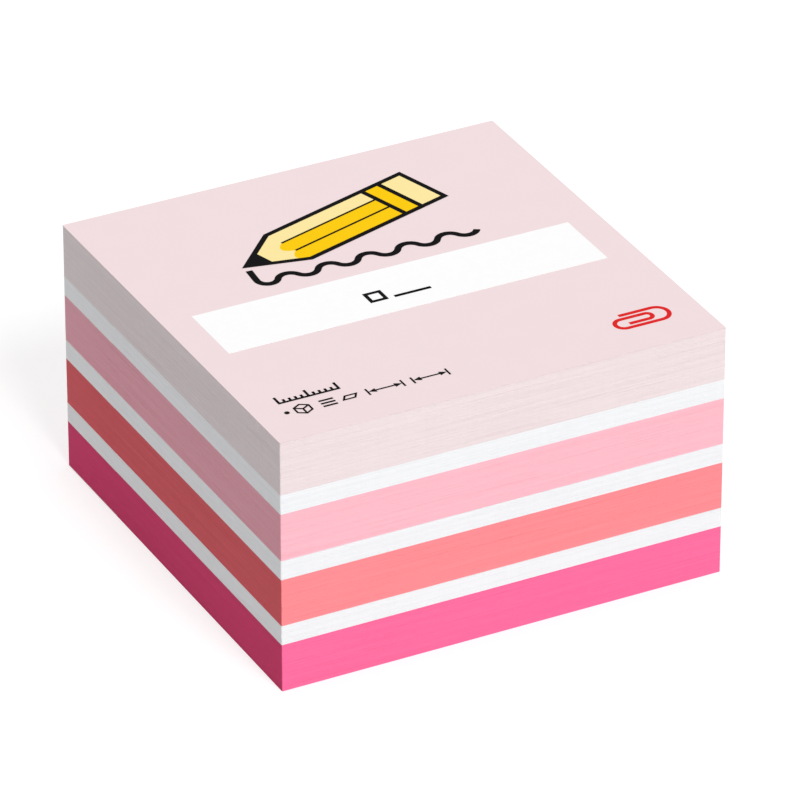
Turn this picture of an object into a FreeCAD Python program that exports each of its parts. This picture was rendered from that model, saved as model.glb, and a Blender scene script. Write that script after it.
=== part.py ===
import FreeCAD, Part

import os

# A cube of sticky notes: four pink blocks with three white ones between them, a printed cover
# sheet on top and a backing sheet underneath. Each note is gummed along one edge of its underside,
# and that gum alone holds the pile together: past it the sheets only lie on each other.
# The origin is the middle of the underside. X runs along the print, Y runs from the free edge
# to the gummed edge, and Z is up. Sizes are in millimetres.

# One note
NOTE_WIDTH = 76.0
NOTE_LENGTH = 76.0
PAPER_THICKNESS = 0.084

# The gum on a note's underside, which reaches in from the gummed edge
GUM_THICKNESS = 0.012
GUM_LENGTH = 18.0

# The sheets above and below the notes
COVER_THICKNESS = 0.10
BACKING_THICKNESS = 0.12

# How many notes each block has
MAGENTA_NOTES = 84
CORAL_NOTES = 84
PINK_NOTES = 84
PALE_PINK_NOTES = 93
LOWER_WHITE_NOTES = 35
MIDDLE_WHITE_NOTES = 35
UPPER_WHITE_NOTES = 35

# The blocks in the order that they are piled, from the backing sheet up
BLOCKS = [
    ("magenta_notes", MAGENTA_NOTES),
    ("lower_white_notes", LOWER_WHITE_NOTES),
    ("coral_notes", CORAL_NOTES),
    ("middle_white_notes", MIDDLE_WHITE_NOTES),
    ("pink_notes", PINK_NOTES),
    ("upper_white_notes", UPPER_WHITE_NOTES),
    ("pale_pink_notes", PALE_PINK_NOTES),
]

GUMMED_EDGE = NOTE_LENGTH / 2


def layer(length, thickness, base):
    """A flat layer as wide as a note, standing on base and reaching in from the gummed edge."""
    corner = FreeCAD.Vector(-NOTE_WIDTH / 2, GUMMED_EDGE - length, base)
    return Part.makeBox(NOTE_WIDTH, length, thickness, corner)


def block_thickness(notes):
    """The notes of a block with the gum between them. The gum under the lowest is a piece of its own."""
    return notes * PAPER_THICKNESS + (notes - 1) * GUM_THICKNESS


def pile(sheets):
    """The pieces by name, from (name, thickness) of each layer, with a strip of gum under all but the first."""
    pieces = {}
    top = 0.0
    for name, thickness in sheets:
        if pieces:
            pieces["gum_under_" + name] = layer(GUM_LENGTH, GUM_THICKNESS, top)
            top += GUM_THICKNESS
        pieces[name] = layer(NOTE_LENGTH, thickness, top)
        top += thickness
    return pieces


def note_cube():
    """Every piece of the cube, piled from the backing sheet up to the cover sheet."""
    sheets = [("backing_sheet", BACKING_THICKNESS)]
    sheets += [(name, block_thickness(notes)) for name, notes in BLOCKS]
    sheets.append(("cover_sheet", COVER_THICKNESS))
    return pile(sheets)


os.makedirs("parts", exist_ok=True)
for name, piece in note_cube().items():
    piece.exportStep("parts/" + name + ".step")
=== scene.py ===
import math

import bmesh
import bpy
from mathutils import Color, Matrix, Vector, noise


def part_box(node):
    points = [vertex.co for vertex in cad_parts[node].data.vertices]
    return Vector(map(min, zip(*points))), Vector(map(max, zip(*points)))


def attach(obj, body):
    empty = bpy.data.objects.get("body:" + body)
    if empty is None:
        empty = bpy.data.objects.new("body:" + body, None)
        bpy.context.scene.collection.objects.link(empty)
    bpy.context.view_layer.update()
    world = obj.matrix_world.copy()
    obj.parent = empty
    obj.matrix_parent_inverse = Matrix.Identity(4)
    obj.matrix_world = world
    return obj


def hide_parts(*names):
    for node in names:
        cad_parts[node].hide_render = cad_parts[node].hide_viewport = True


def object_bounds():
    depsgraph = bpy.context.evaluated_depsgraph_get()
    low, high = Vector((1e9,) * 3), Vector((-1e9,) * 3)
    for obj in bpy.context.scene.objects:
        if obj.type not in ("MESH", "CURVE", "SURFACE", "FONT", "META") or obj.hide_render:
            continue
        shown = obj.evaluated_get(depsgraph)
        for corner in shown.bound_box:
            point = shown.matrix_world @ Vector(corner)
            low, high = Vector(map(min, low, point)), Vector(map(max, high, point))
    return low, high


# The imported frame, and its box before anything is added
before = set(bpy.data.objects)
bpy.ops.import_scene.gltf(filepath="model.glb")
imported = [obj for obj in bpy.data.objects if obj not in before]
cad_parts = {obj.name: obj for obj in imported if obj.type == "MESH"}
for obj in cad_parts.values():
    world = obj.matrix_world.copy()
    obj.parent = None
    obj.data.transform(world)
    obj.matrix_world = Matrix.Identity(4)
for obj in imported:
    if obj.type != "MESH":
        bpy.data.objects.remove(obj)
cad_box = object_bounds()

MM = 0.001

# The pile as the frame has it: the origin is the middle of its underside
HALF_WIDTH = cad_box[1].x
HALF_LENGTH = cad_box[1].y
TOP = cad_box[1].z
FIRST_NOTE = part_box("magenta_notes")[0].z
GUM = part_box("gum_under_magenta_notes")[1].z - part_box("gum_under_magenta_notes")[0].z
GUM_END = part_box("gum_under_magenta_notes")[0].y

# One note, and how far one note's underside is from the next one's
PAPER = 0.084 * MM
PITCH = PAPER + GUM

# A note's outline: its corners are a little dulled by handling
CORNER = 0.16 * MM
CORNER_STEPS = 2
SIDE_PARTS = 24

# A note's cut edge: how much of it is broken above and below, and how far the notes lie in
LIP = 0.014 * MM
FLUSH = 0.030 * MM
DRIFT = 0.022 * MM
WANDER = 0.010 * MM
GROOVE = 0.018 * MM
PARTING = 0.090 * MM

# The lengths along an edge over which a pile drifts, a note wanders and two notes part,
# the number of notes over which a pile drifts, and the share of a groove that the gum leaves open
DRIFT_LENGTH = 34 * MM
WANDER_LENGTH = 7 * MM
PARTING_LENGTH = 16 * MM
DRIFT_NOTES = 28
TIGHT_GROOVE = 0.4

# Steps through the noise that are far enough apart for two notes, or two sides, to be unlike
UNLIKE = 5.17
PARTING_STEPS = 4

# The film that each ink leaves on the cover
INK = 0.02 * MM


def looseness(y):
    """0 at the gummed edge and 1 from the inner end of the gum to the free edge."""
    return min(1.0, (HALF_LENGTH - y) / (HALF_LENGTH - GUM_END))


def tuck(side, along, number, loose, grooved):
    """How far in from the flush face a note's edge lies, at a spot along side -1, 1, -2 or 2."""
    drift = noise.noise(Vector((along / DRIFT_LENGTH, number / DRIFT_NOTES, side * UNLIKE)))
    wander = noise.noise(Vector((along / WANDER_LENGTH, number * UNLIKE, side * UNLIKE)))
    depth = max(0.0, FLUSH + DRIFT * drift + WANDER * wander)
    if grooved:
        place = Vector((along / PARTING_LENGTH, number * UNLIKE, (side + PARTING_STEPS) * UNLIKE))
        depth += GROOVE * (TIGHT_GROOVE + (1 - TIGHT_GROOVE) * loose)
        depth += PARTING * max(0.0, noise.noise(place)) * loose
    return depth


def settle(vertex, number, grooved):
    """Moves a point of the pile's straight side to where the trimmed and handled edge has it."""
    x, y = vertex.co.x, vertex.co.y
    loose = looseness(y)
    if abs(x) > HALF_WIDTH - CORNER:
        vertex.co.x -= math.copysign(tuck(math.copysign(1, x), y, number, loose, grooved), x)
    if abs(y) > HALF_LENGTH - CORNER:
        vertex.co.y -= math.copysign(tuck(math.copysign(2, y), x, number, loose, grooved), y)


def note_outline(height):
    """A mesh with one flat note in it, its corners dulled and its sides in short parts."""
    mesh = bmesh.new()
    bmesh.ops.create_grid(mesh, x_segments=1, y_segments=1, size=1)
    bmesh.ops.scale(mesh, vec=(HALF_WIDTH, HALF_LENGTH, 1), verts=mesh.verts)
    bmesh.ops.translate(mesh, vec=(0, 0, height), verts=mesh.verts)
    bmesh.ops.bevel(mesh, geom=mesh.verts[:], affect="VERTICES", offset=CORNER,
                    segments=CORNER_STEPS, profile=0.5, material=-1)
    sides = [edge for edge in mesh.edges if edge.calc_length() > HALF_WIDTH]
    bmesh.ops.subdivide_edges(mesh, edges=sides, cuts=SIDE_PARTS - 1)
    return mesh


def grow(mesh, rim, height):
    """Extrudes the rim of the pile up to a height, and returns the new rim's edges and points."""
    made = bmesh.ops.extrude_edge_only(mesh, edges=rim)["geom"]
    points = [part for part in made if isinstance(part, bmesh.types.BMVert)]
    for point in points:
        point.co.z = height
    return [part for part in made if isinstance(part, bmesh.types.BMEdge)], points


def sheet_pile(base, sheets, thickness, first_number, grooved_below=True, grooved_above=True):
    """A closed mesh of sheets lying on each other, each with a broken edge and a groove above it."""
    mesh = note_outline(base)
    rim = [edge for edge in mesh.edges if edge.is_boundary]
    rings = [(mesh.verts[:], first_number, grooved_below)]
    for sheet in range(sheets):
        underside = base + sheet * (thickness + GUM)
        last = sheet == sheets - 1
        upper_rim = (thickness, grooved_above) if last else (thickness + GUM / 2, True)
        for height, grooved in [(LIP, False), (thickness - LIP, False), upper_rim]:
            rim, points = grow(mesh, rim, underside + height)
            rings.append((points, first_number + sheet, grooved))
    bmesh.ops.edgeloop_fill(mesh, edges=rim)
    for points, number, grooved in rings:
        for point in points:
            settle(point, number, grooved)
    return mesh


def finish_piece(mesh, name, material, nodes=()):
    """Makes a mesh a piece of the object, with its finish, and hides the frame's parts that it stands for.
    """
    bmesh.ops.recalc_face_normals(mesh, faces=mesh.faces)
    data = bpy.data.meshes.new(name)
    mesh.to_mesh(data)
    mesh.free()
    data.materials.append(material)
    piece = bpy.data.objects.new(name, data)
    bpy.context.scene.collection.objects.link(piece)
    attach(piece, "root")
    if nodes:
        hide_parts(*nodes)
    return piece


class Shade:
    """One socket of a material's nodes, which takes part in Python's arithmetic."""

    def __init__(self, tree, socket):
        self.tree = tree
        self.socket = socket

    def node(self, kind, settings=None, inputs=None, output=0):
        """Adds any node: first its settings, then the values or links of its sockets. Returns one output."""
        node = self.tree.nodes.new(kind)
        for name, value in (settings or {}).items():
            setattr(node, name, value)
        for name, value in (inputs or {}).items():
            if isinstance(value, Shade):
                self.tree.links.new(value.socket, node.inputs[name])
            else:
                node.inputs[name].default_value = value
        return Shade(self.tree, node.outputs[output])

    def beside(self, output):
        """Another output of the same node."""
        return Shade(self.tree, self.socket.node.outputs[output])

    def math(self, operation, first, second=0.0):
        return self.node("ShaderNodeMath", {"operation": operation}, {0: first, 1: second})

    def __add__(self, other):
        return self.math("ADD", self, other)

    def __radd__(self, other):
        return self.math("ADD", other, self)

    def __sub__(self, other):
        return self.math("SUBTRACT", self, other)

    def __rsub__(self, other):
        return self.math("SUBTRACT", other, self)

    def __mul__(self, other):
        return self.math("MULTIPLY", self, other)

    def __rmul__(self, other):
        return self.math("MULTIPLY", other, self)

    def __truediv__(self, other):
        return self.math("DIVIDE", self, other)

    def __gt__(self, other):
        return self.math("GREATER_THAN", self, other)

    def __abs__(self):
        return self.math("ABSOLUTE", self)

    def floor(self):
        return self.math("FLOOR", self)

    def part(self, axis):
        """One part of a vector: 0, 1 or 2 for X, Y or Z."""
        return self.node("ShaderNodeSeparateXYZ", inputs={0: self}, output=axis)

    def scaled(self, factors):
        """A vector multiplied part by part."""
        return self.node("ShaderNodeVectorMath", {"operation": "MULTIPLY"}, {0: self, 1: factors})

    def tone_of(self, colour):
        """A colour multiplied by this number."""
        return self.node("ShaderNodeVectorMath", {"operation": "SCALE"}, {0: colour, "Scale": self})

    def grain(self, scale, detail=2.0):
        """Noise from 0 to 1, about 0.5, at the places that this vector gives."""
        return self.node("ShaderNodeTexNoise", inputs={"Vector": self, "Scale": scale, "Detail": detail})

    def between(self, low, high):
        """From low, where this is 0, to high, where it is 1."""
        return low + (high - low) * self

    def uneven(self, share):
        """A tone about 1 that varies by this share as the noise goes from 0 to 1."""
        return self.between(1 + share / 2, 1 - share / 2)

    def choose(self, colour, other):
        """The first colour where this is 0, and the other where it is 1."""
        # The node's own colour sockets are its inputs 6 and 7 and its output 2
        return self.node("ShaderNodeMix", {"data_type": "RGBA"}, {0: self, 6: colour, 7: other}, 2)

    def bump(self, depth):
        """A normal from this height, where 1 stands for a depth in metres."""
        return self.node("ShaderNodeBump", inputs={"Height": self, "Distance": depth})


def written(red, green, blue):
    """A colour as a screen shows it, in steps of 255, as the numbers that a shader takes."""
    shares = [step / 255 for step in (red, green, blue)]
    return (*Color(shares).from_srgb_to_scene_linear(), 1.0)


def new_material(name, shine):
    """A material with its specular level set. Returns it, its shader and its Object coordinates."""
    material = bpy.data.materials.new(name)
    material.use_nodes = True
    tree = material.node_tree
    shader = tree.nodes["Principled BSDF"]
    shader.inputs["Specular IOR Level"].default_value = shine
    coordinates = tree.nodes.new("ShaderNodeTexCoord")
    return material, shader, Shade(tree, coordinates.outputs["Object"])


def dress(shader, colour, roughness, normal):
    """Gives a shader the three things that vary over a surface."""
    for name, shade in [("Base Color", colour), ("Roughness", roughness), ("Normal", normal)]:
        shade.tree.links.new(shade.socket, shader.inputs[name])


# Paper and its fibres
PAPER_SHINE = 0.15
FIBRE_SCALE = 5200.0
FIBRE_DEPTH = 0.004 * MM
FIBRE_DETAIL = 4.0
CUT_FIBRE_DETAIL = 3.0
PATCH_DETAIL = 3.0

# How much the tone of cut paper varies: from note to note, from ream to ream and along the knife's streaks
NOTE_TONE = 0.045
REAM_TONE = 0.035
STREAK_TONE = 0.030
REAMS_UP = (1.0, 1.0, 900.0)
STREAKS = (2600.0, 2600.0, 60.0)
STREAK_SHARE = 0.7
CUT_DEPTH = 0.012 * MM
CUT_ROUGHNESS = (0.82, 0.94)

# How far in from the flush face a trimmed edge can still be met
EDGE_REACH = 0.3 * MM


def note_paper(name, colour, painted_shading_colour):
    """Paper seen at its trimmed edges. On the two sides across X its colour is painted shading: deeper on
    the coloured papers and lighter on the white one.
    """
    material, shader, place = new_material(name, PAPER_SHINE)
    number = ((place.part(2) - FIRST_NOTE) / PITCH).floor()
    note = place.node("ShaderNodeTexWhiteNoise", {"noise_dimensions": "1D"}, {"W": number})
    ream = place.scaled(REAMS_UP).grain(1.0)
    streak = place.scaled(STREAKS).grain(1.0)
    fibre = place.grain(FIBRE_SCALE, CUT_FIBRE_DETAIL)
    aside = abs(place.part(0))
    # The mask picks the two sides across X, which get the second colour: painted shade on the coloured
    # papers, painted light on the white one
    painted_shading_sides = (aside > abs(place.part(1))) * (aside > HALF_WIDTH - EDGE_REACH)
    paper = painted_shading_sides.choose(colour, painted_shading_colour)
    tone = note.uneven(NOTE_TONE) * ream.uneven(REAM_TONE) * streak.uneven(STREAK_TONE)
    relief = STREAK_SHARE * streak + (1 - STREAK_SHARE) * fibre
    dress(shader, tone.tone_of(paper), fibre.between(*CUT_ROUGHNESS), relief.bump(CUT_DEPTH))
    return material


# A sheet's face, with broad faint clouds as in any paper that is held to the light
FACE_FIBRE_TONE = 0.020
FACE_CLOUD_TONE = 0.025
FACE_ROUGHNESS = (0.74, 0.86)
CLOUD_SCALE = 190.0


def cover_paper(name, colour):
    """The face of a sheet: smooth, with its fibres just showing."""
    material, shader, place = new_material(name, PAPER_SHINE)
    fibre = place.grain(FIBRE_SCALE, FIBRE_DETAIL)
    cloud = place.grain(CLOUD_SCALE, PATCH_DETAIL)
    tone = fibre.uneven(FACE_FIBRE_TONE) * cloud.uneven(FACE_CLOUD_TONE)
    dress(shader, tone.tone_of(colour[:3]), fibre.between(*FACE_ROUGHNESS), fibre.bump(FIBRE_DEPTH))
    return material


# Ink, which lies a little thicker in some places than in others
INK_SHINE = 0.02
INK_FIBRE_TONE = 0.030
INK_LAY_TONE = 0.040
INK_ROUGHNESS = (0.50, 0.66)
LAY_SCALE = 700.0


def ink(name, colour):
    """Flat ink on the cover, which takes up a little of the paper's grain."""
    material, shader, place = new_material(name, INK_SHINE)
    fibre = place.grain(FIBRE_SCALE, FIBRE_DETAIL)
    lay = place.grain(LAY_SCALE, PATCH_DETAIL)
    tone = fibre.uneven(INK_FIBRE_TONE) * lay.uneven(INK_LAY_TONE)
    dress(shader, tone.tone_of(colour[:3]), fibre.between(*INK_ROUGHNESS), fibre.bump(FIBRE_DEPTH))
    return material


# Dried gum
GUM_SHINE = 0.4
GUM_TONE = 0.10
GUM_ROUGHNESS = (0.35, 0.60)
GUM_SCALE = 2400.0


def gum_finish(name, colour):
    """Dried gum: pale, slightly cloudy and with a soft shine."""
    material, shader, place = new_material(name, GUM_SHINE)
    cloud = place.grain(GUM_SCALE, PATCH_DETAIL)
    tone = cloud.uneven(GUM_TONE)
    dress(shader, tone.tone_of(colour[:3]), cloud.between(*GUM_ROUGHNESS), cloud.bump(FIBRE_DEPTH))
    return material


# The papers: as the lit side shows them, and a second colour of painted shading for the two sides across X,
# deeper on the coloured papers and lighter on the white one
PALE_PINK = note_paper("pale_pink_paper", written(240, 226, 227), written(237, 226, 228))
WHITE = note_paper("white_paper", written(243, 244, 246), written(248, 249, 251))
PINK = note_paper("pink_paper", written(253, 193, 205), written(238, 176, 189))
CORAL = note_paper("coral_paper", written(252, 148, 154), written(226, 105, 112))
MAGENTA = note_paper("magenta_paper", written(251, 116, 166), written(223, 74, 122))
COVER = cover_paper("cover_paper", written(240, 220, 222))
GUM_FINISH = gum_finish("gum", written(236, 231, 220))

# The blocks of notes: the piece, the node that it stands for, its finish and its slot
BLOCKS = [
    ("magenta_sheets", "magenta_notes", MAGENTA, "magenta_paper"),
    ("lower_white_sheets", "lower_white_notes", WHITE, "white_paper"),
    ("coral_sheets", "coral_notes", CORAL, "coral_paper"),
    ("middle_white_sheets", "middle_white_notes", WHITE, "white_paper"),
    ("pink_sheets", "pink_notes", PINK, "pink_paper"),
    ("upper_white_sheets", "upper_white_notes", WHITE, "white_paper"),
    ("pale_pink_sheets", "pale_pink_notes", PALE_PINK, "pale_pink_paper"),
]


def note_blocks():
    """The blocks of notes, each as one closed pile."""
    for name, node, finish, slot in BLOCKS:
        low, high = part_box(node)
        notes = round((high.z - low.z + GUM) / PITCH)
        lowest = round((low.z - FIRST_NOTE) / PITCH)
        finish_piece(sheet_pile(low.z, notes, PAPER, lowest), name, finish, [node])


def backing_board():
    """The sheet below the notes."""
    low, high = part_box("backing_sheet")
    sheet = sheet_pile(low.z, 1, high.z - low.z, -1, grooved_below=False)
    finish_piece(sheet, "backing_board", MAGENTA, ["backing_sheet"])


def top_cover():
    """The sheet above the notes, which carries the print."""
    low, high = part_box("cover_sheet")
    sheet = sheet_pile(low.z, 1, high.z - low.z, round(TOP / PITCH), grooved_above=False)
    finish_piece(sheet, "top_cover", COVER, ["cover_sheet"])


def gum_strips():
    """The gum between the blocks keeps the frame's own shape, and gets its finish."""
    for node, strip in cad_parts.items():
        if node.startswith("gum_under_"):
            strip.data.materials.clear()
            strip.data.materials.append(GUM_FINISH)


# The parts of a drawn spot, and the steps of a drawn curve
SPOT_PARTS = 24
TURN_STEP = math.radians(10)


class Stencil:
    """Flat shapes of one ink, drawn on the cover in millimetres, which become a film of ink."""

    def __init__(self, level):
        self.mesh = bmesh.new()
        self.level = level

    def lift(self, faces, place=Matrix.Identity(4)):
        """Puts flat faces in their place on the cover and gives them the thickness of the film."""
        lower = list({point for face in faces for point in face.verts})
        made = bmesh.ops.extrude_face_region(self.mesh, geom=faces, use_keep_orig=True)["geom"]
        upper = [part for part in made if isinstance(part, bmesh.types.BMVert)]
        bmesh.ops.transform(self.mesh, matrix=place, verts=lower + upper)
        bmesh.ops.scale(self.mesh, vec=(MM, MM, MM), verts=lower + upper)
        bmesh.ops.translate(self.mesh, vec=(0, 0, TOP + self.level * INK), verts=lower)
        bmesh.ops.translate(self.mesh, vec=(0, 0, TOP + (self.level + 1) * INK), verts=upper)

    def field(self, corners, place=Matrix.Identity(4)):
        """A field of colour."""
        face = self.mesh.faces.new([self.mesh.verts.new((x, y, 0)) for x, y in corners])
        self.lift([face], place)

    def panes(self, points, shapes, width, filled=(), place=Matrix.Identity(4)):
        """Lines of even width round shapes that share their corners. The filled shapes are ink all over."""
        corners = [self.mesh.verts.new((x, y, 0)) for x, y in points]
        faces = [self.mesh.faces.new([corners[corner] for corner in shape]) for shape in shapes]
        for face in faces:
            face.normal_update()
        outer = bmesh.ops.inset_region(self.mesh, faces=faces, thickness=width / 2, use_even_offset=True,
                                       use_boundary=True)["faces"]
        inner = bmesh.ops.inset_individual(self.mesh, faces=faces, thickness=width / 2,
                                           use_even_offset=True)["faces"]
        inked = [faces[shape] for shape in filled]
        open_faces = [face for face in faces if face not in inked]
        bmesh.ops.delete(self.mesh, geom=open_faces, context="FACES_ONLY")
        self.lift(outer + inner + inked, place)

    def border(self, corners, width):
        """A line of even width just inside these corners."""
        self.panes(corners, [range(len(corners))], width)

    def spot(self, centre, radius):
        """A round spot."""
        middle = Matrix.Translation((*centre, 0))
        points = bmesh.ops.create_circle(self.mesh, cap_ends=True, radius=radius, segments=SPOT_PARTS,
                                         matrix=middle)["verts"]
        self.lift(list({face for point in points for face in point.link_faces}))

    def line(self, start, heading, width, moves):
        """A line of even width. Each move is a straight length, or a turn in degrees with its radius."""
        known = set(self.mesh.faces)
        # The pen is where the line has got to: X is ahead of it and Y is on its left
        pen = Matrix.Translation((*start, 0)) @ Matrix.Rotation(math.radians(heading), 4, "Z")
        ends = [self.mesh.verts.new(pen @ Vector((0, end, 0))) for end in (-width / 2, width / 2)]
        tip = [self.mesh.edges.new(ends)]
        for move in moves:
            if isinstance(move, tuple):
                turn = math.radians(move[0])
                centre = Vector((0, math.copysign(move[1], turn), 0))
                steps = max(2, round(abs(turn) / TURN_STEP))
                made = bmesh.ops.spin(self.mesh, geom=tip + list(tip[0].verts), cent=pen @ centre,
                                      axis=(0, 0, 1), angle=turn, steps=steps)["geom_last"]
                about = Matrix.Translation(centre)
                pen = pen @ about @ Matrix.Rotation(turn, 4, "Z") @ about.inverted()
            else:
                made = bmesh.ops.extrude_edge_only(self.mesh, edges=tip)["geom"]
                points = [part for part in made if isinstance(part, bmesh.types.BMVert)]
                bmesh.ops.translate(self.mesh, vec=pen.to_3x3() @ Vector((move, 0, 0)), verts=points)
                pen = pen @ Matrix.Translation((move, 0, 0))
            tip = [part for part in made if isinstance(part, bmesh.types.BMEdge)]
        self.lift([face for face in self.mesh.faces if face not in known])


# The plain band across the cover
BAND_LEFT = -32.8
BAND_RIGHT = 32.5
BAND_LOW = -10.4
BAND_HIGH = 2.55

# The pencil, from its point along its length
PENCIL_POINT = (-18.4, 12.8)
PENCIL_SLOPE = 17
PENCIL_LENGTH = 38.0
PENCIL_HALF = 5.1
CONE_LENGTH = 9.0
LEAD_LENGTH = 3.2
FACET = 1.6
SCALLOP = 1.5
SCALLOP_STEPS = 6
FERRULE_START = 29.6
FERRULE_END = 33.1
PENCIL_OUTLINE = 0.9
THIN_LINE = 0.4

# How far a colour reaches under a black line
UNDERLAP = 0.3


def rectangle(left, low, right, high):
    """The corners of a rectangle, in order."""
    return [(left, low), (right, low), (right, high), (left, high)]


def scallops(low, high):
    """The edge of a facet's paint, from low to high, which bulges towards the pencil's point."""
    shares = [step / SCALLOP_STEPS for step in range(SCALLOP_STEPS + 1)]
    bulges = [SCALLOP * (1 - (2 * share - 1) ** 2) for share in shares]
    return [(CONE_LENGTH - bulge, low + (high - low) * share) for share, bulge in zip(shares, bulges)]


def colour_pencil(amber, pale, place):
    """The pencil's colours: two painted facets, a pale one with the wood, the ferrule and the eraser."""
    gap = PENCIL_OUTLINE / 2 - UNDERLAP
    shaft_end = FERRULE_START - gap
    paint = scallops(-PENCIL_HALF, -FACET) + scallops(-FACET, FACET)[1:]
    amber.field([*reversed(paint), (shaft_end, -PENCIL_HALF), (shaft_end, FACET)], place)
    upper_facet = [(shaft_end, FACET), (shaft_end, PENCIL_HALF), (CONE_LENGTH, PENCIL_HALF)]
    pale.field([(0, 0), *paint, *upper_facet], place)
    amber.field(rectangle(FERRULE_START + gap, -PENCIL_HALF, FERRULE_END - gap, PENCIL_HALF), place)
    pale.field(rectangle(FERRULE_END + gap, -PENCIL_HALF, PENCIL_LENGTH, PENCIL_HALF), place)


def outline_pencil(black, place):
    """The pencil's black lines, round its lead, shaft, ferrule and eraser, and between its facets."""
    half = PENCIL_HALF + PENCIL_OUTLINE / 2
    end = PENCIL_LENGTH + PENCIL_OUTLINE / 2
    slope = PENCIL_HALF / CONE_LENGTH
    nose = PENCIL_OUTLINE / 2 * math.hypot(1, slope) / slope
    lead_half = (LEAD_LENGTH + nose) * slope
    shoulder = half / slope - nose
    joins = [shoulder, FERRULE_START, FERRULE_END, end]
    # The corners go from the point along the lower side, and come back along the upper one
    lower = [(LEAD_LENGTH, -lead_half), *((x, -half) for x in joins)]
    upper = [(x, -y) for x, y in reversed(lower)]
    corners = [(-nose, 0), *lower, *upper]
    # The lead, the wood and shaft, the ferrule and the eraser
    shapes = [(0, 1, 10), (1, 2, 3, 8, 9, 10), (3, 4, 7, 8), (4, 5, 6, 7)]
    black.panes(corners, shapes, PENCIL_OUTLINE, filled=[0], place=place)
    for y in (-FACET, FACET):
        black.field(rectangle(CONE_LENGTH, y - THIN_LINE / 2,
                              FERRULE_START - PENCIL_OUTLINE / 2, y + THIN_LINE / 2), place)


def draw_pencil(amber, pale, black):
    """A pencil lying across the cover."""
    place = Matrix.Translation((*PENCIL_POINT, 0)) @ Matrix.Rotation(math.radians(PENCIL_SLOPE), 4, "Z")
    colour_pencil(amber, pale, place)
    outline_pencil(black, place)


# The line that the pencil has drawn: a hook at the point, then even waves
WAVE_START = (-18.7, 11.3)
WAVE_HEADING = -95
WAVE_HOOK = [3.3, (155, 1.7)]
WAVE_TURN = 120
WAVE_RADIUS = 2.0
WAVES = 5
WAVE_WIDTH = 1.1


def draw_wave(black):
    """The wavy line below the pencil."""
    waves = [(-WAVE_TURN, WAVE_RADIUS), (WAVE_TURN, WAVE_RADIUS)] * WAVES
    black.line(WAVE_START, WAVE_HEADING, WAVE_WIDTH, WAVE_HOOK + waves)


# A box to tick and a line to write on, in the middle of the band
BOX_LEFT = -6.6
BOX_LOW = -6.4
BOX_SIDE = 3.1
BOX_LINE = 0.65
RULE_LEFT = -2.4
RULE_RIGHT = 3.9


def draw_box(black):
    """The box and its line on the band."""
    black.border(rectangle(BOX_LEFT, BOX_LOW, BOX_LEFT + BOX_SIDE, BOX_LOW + BOX_SIDE), BOX_LINE)
    black.field(rectangle(RULE_LEFT, BOX_LOW, RULE_RIGHT, BOX_LOW + BOX_LINE))


# A paper clip, from the inner end of its wire
CLIP_START = (25.5, -30.1)
CLIP_WIRE = 0.74
CLIP_BENDS = [3.5, (180, 0.85), 4.3, (180, 1.4), 6.0, (180, 1.95), 5.6]


def draw_clip(red):
    """A bent wire clip beside the free edge."""
    red.line(CLIP_START, 0, CLIP_WIRE, CLIP_BENDS)


# A tick scale by the corner: ten parts, with long ticks at its ends and its middle
SCALE_LEFT = -33.0
SCALE_LOW = -27.6
SCALE_PART = 1.0
SCALE_PARTS = 10
SCALE_LINE = 0.42
SHORT_TICK = 1.1
LONG_TICK = 2.1


def draw_scale(black):
    """The tick scale, drawn as one comb."""
    comb = [(SCALE_LEFT, SCALE_LOW)]
    comb.append((SCALE_LEFT + SCALE_PARTS * SCALE_PART + SCALE_LINE, SCALE_LOW))
    for tick in reversed(range(SCALE_PARTS + 1)):
        left = SCALE_LEFT + tick * SCALE_PART
        height = LONG_TICK if tick % (SCALE_PARTS // 2) == 0 else SHORT_TICK
        comb.append((left + SCALE_LINE, SCALE_LOW + height))
        comb.append((left, SCALE_LOW + height))
        if tick:
            comb.append((left, SCALE_LOW + SCALE_LINE))
            comb.append((left - SCALE_PART + SCALE_LINE, SCALE_LOW + SCALE_LINE))
    black.field(comb)


# The row of small signs below the scale: a spot, a block, three sheets, one sheet and two lengths
SIGN_MIDDLE = -30.4
SIGN_LINE = 0.31
SPOT_AT = -33.0
SPOT_RADIUS = 0.42
BLOCK_AT = -30.3
BLOCK_RADIUS = 1.6
STACK_LEFT = -27.3
STACK_RIGHT = -24.9
STACK_GAP = 0.85
STACK_LINE = 0.4
SHEET_LEFT = -24.0
SHEET_WIDTH = 3.1
SHEET_SLANT = 0.8
SHEET_HALF = 0.65
LENGTHS = [(-19.6, -13.4), (-12.0, -5.8)]
STOP_HALF = 0.95
ARROW_LENGTH = 1.2
ARROW_HALF = 0.55


def draw_block(black):
    """A block of notes seen from a corner, as its three faces."""
    # The outline is a hexagon that stands on a corner, and the faces meet at its middle, which comes last
    around = [math.radians(30 + 60 * corner) for corner in range(6)]
    corners = [(BLOCK_AT + BLOCK_RADIUS * math.cos(turn), SIGN_MIDDLE + BLOCK_RADIUS * math.sin(turn))
               for turn in around]
    middle = (BLOCK_AT, SIGN_MIDDLE)
    black.panes([*corners, middle], [(6, 0, 1, 2), (6, 2, 3, 4), (6, 4, 5, 0)], SIGN_LINE)


def draw_length(black, left, right):
    """A length between two stops, as an arrow with two heads."""
    start, end = left + SIGN_LINE, right - SIGN_LINE
    for low in (left, end):
        black.field(rectangle(low, SIGN_MIDDLE - STOP_HALF, low + SIGN_LINE, SIGN_MIDDLE + STOP_HALF))
    lower = [(start, 0), (start + ARROW_LENGTH, -ARROW_HALF), (start + ARROW_LENGTH, -SIGN_LINE / 2),
             (end - ARROW_LENGTH, -SIGN_LINE / 2), (end - ARROW_LENGTH, -ARROW_HALF), (end, 0)]
    upper = [(x, -y) for x, y in reversed(lower[1:-1])]
    black.field([(x, SIGN_MIDDLE + y) for x, y in lower + upper])


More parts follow.
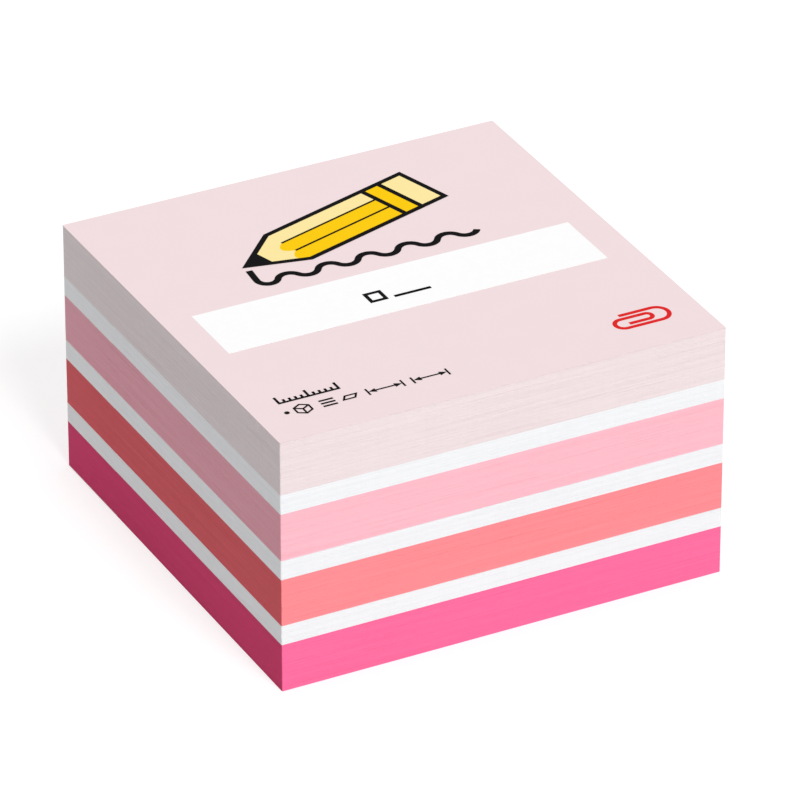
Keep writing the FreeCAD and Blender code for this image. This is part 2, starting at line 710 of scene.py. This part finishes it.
def draw_signs(black):
    """The row of small signs."""
    black.spot((SPOT_AT, SIGN_MIDDLE), SPOT_RADIUS)
    draw_block(black)
    for row in (-1, 0, 1):
        middle = SIGN_MIDDLE + row * STACK_GAP
        black.field(rectangle(STACK_LEFT, middle - STACK_LINE / 2, STACK_RIGHT, middle + STACK_LINE / 2))
    low, high = SIGN_MIDDLE - SHEET_HALF, SIGN_MIDDLE + SHEET_HALF
    right = SHEET_LEFT + SHEET_WIDTH
    sheet = [(SHEET_LEFT, low), (right - SHEET_SLANT, low), (right, high), (SHEET_LEFT + SHEET_SLANT, high)]
    black.border(sheet, SIGN_LINE)
    for left, right in LENGTHS:
        draw_length(black, left, right)


# The inks: the piece, how many films lie under it where they cross, and its colour
INKS = [
    ("white_ink", 0, written(252, 252, 252)),
    ("amber_ink", 0, written(251, 203, 9)),
    ("pale_yellow_ink", 0, written(252, 232, 163)),
    ("red_ink", 0, written(222, 38, 38)),
    ("black_ink", 1, written(6, 6, 8)),
]


def print_cover():
    """The cover's print, one piece for each ink."""
    stencils = [Stencil(level) for name, level, colour in INKS]
    white, amber, pale, red, black = stencils
    white.field(rectangle(BAND_LEFT, BAND_LOW, BAND_RIGHT, BAND_HIGH))
    draw_pencil(amber, pale, black)
    draw_wave(black)
    draw_box(black)
    draw_clip(red)
    draw_scale(black)
    draw_signs(black)
    for stencil, (name, level, colour) in zip(stencils, INKS):
        finish_piece(stencil.mesh, name, ink(name, colour))


# Stage: a pale floor, which a camera sees as white where no shadow lies. It is a hair lower than
# the pile's underside, so that the two faces don't share a plane.
FLOOR_HALF = 3.0
FLOOR_DROP = 0.02 * MM
FLOOR_TONE = 0.5
FLOOR_GLOW = 0.60


def light_path(start):
    """1 for what the camera sees, also in a shiny or clear surface, and 0 for light that falls on things."""
    direct = start.node("ShaderNodeLightPath", output="Is Camera Ray")
    glossy = direct.beside("Is Glossy Ray")
    clear = direct.beside("Is Transmission Ray")
    return start.math("MAXIMUM", direct, start.math("MAXIMUM", glossy, clear))


def floor():
    """A plain floor that takes the shadow, far wider than what the camera sees."""
    mesh = bmesh.new()
    bmesh.ops.create_grid(mesh, x_segments=1, y_segments=1, size=FLOOR_HALF,
                          matrix=Matrix.Translation((0, 0, -FLOOR_DROP)))
    data = bpy.data.meshes.new("floor")
    mesh.to_mesh(data)
    mesh.free()
    material = bpy.data.materials.new("floor")
    material.use_nodes = True
    tree = material.node_tree
    tree.nodes.clear()
    start = Shade(tree, None)
    pale = start.node("ShaderNodeBsdfDiffuse", inputs={"Color": (FLOOR_TONE, FLOOR_TONE, FLOOR_TONE, 1)})
    glow = start.node("ShaderNodeEmission", inputs={"Strength": light_path(start) * FLOOR_GLOW})
    both = start.node("ShaderNodeAddShader", inputs={0: pale, 1: glow})
    surface = tree.nodes.new("ShaderNodeOutputMaterial")
    tree.links.new(both.socket, surface.inputs["Surface"])
    data.materials.append(material)
    plane = bpy.data.objects.new("floor", data)
    bpy.context.scene.collection.objects.link(plane)


# Light: an even sky, a broad lamp that lights the top and the front alike, and a weaker one behind.
# Each lamp has its strength and the direction that its light comes from.
SKY_LEVEL = 0.50
LAMP_SPREAD = 24
LAMPS = {
    "front_lamp": (2.04, Vector((0.03, -0.756, 0.655))),
    "back_lamp": (0.80, Vector((0.0, 0.94, 0.34))),
}


def lighting():
    """The sky, white to the camera and dimmer on the object, and the lamps."""
    world = bpy.data.worlds.new("sky")
    world.use_nodes = True
    bpy.context.scene.world = world
    tree = world.node_tree
    sky = tree.nodes["Background"]
    sky.inputs["Color"].default_value = (1, 1, 1, 1)
    level = light_path(Shade(tree, None)).between(SKY_LEVEL, 1)
    tree.links.new(level.socket, sky.inputs["Strength"])
    for name, (strength, origin) in LAMPS.items():
        lamp = bpy.data.lights.new(name, "SUN")
        lamp.energy = strength
        lamp.angle = math.radians(LAMP_SPREAD)
        holder = bpy.data.objects.new(name, lamp)
        holder.rotation_mode = "QUATERNION"
        holder.rotation_quaternion = (-origin).to_track_quat("-Z", "Y")
        bpy.context.scene.collection.objects.link(holder)


# Camera: where the photograph was taken from, and the pixel where it shows the middle of the pile
AZIMUTH = -27.34
ELEVATION = 30.02
DISTANCE = 1.149
LENS = 332.3
SENSOR = 36.0
PHOTO_SIDE = 800
MIDDLE_PIXEL = (390.3, 397.7)


def camera():
    """The camera, turned towards the pile and moved aside so that its middle falls on its pixel."""
    lens = bpy.data.cameras.new("camera")
    lens.sensor_width = SENSOR
    lens.lens = LENS
    holder = bpy.data.objects.new("camera", lens)
    turn, rise = math.radians(AZIMUTH), math.radians(ELEVATION)
    back = Vector((math.sin(turn) * math.cos(rise), -math.cos(turn) * math.cos(rise), math.sin(rise)))
    facing = (-back).to_track_quat("-Z", "Y")
    pixel = DISTANCE * SENSOR / LENS / PHOTO_SIDE
    aside = facing @ Vector((PHOTO_SIDE / 2 - MIDDLE_PIXEL[0], MIDDLE_PIXEL[1] - PHOTO_SIDE / 2, 0))
    holder.location = Vector((0, 0, TOP / 2)) + back * DISTANCE + aside * pixel
    holder.rotation_mode = "QUATERNION"
    holder.rotation_quaternion = facing
    bpy.context.scene.collection.objects.link(holder)
    bpy.context.scene.camera = holder


note_blocks()
backing_board()
top_cover()
gum_strips()
print_cover()
floor()
lighting()
camera()
bpy.context.scene.view_settings.view_transform = "Standard"
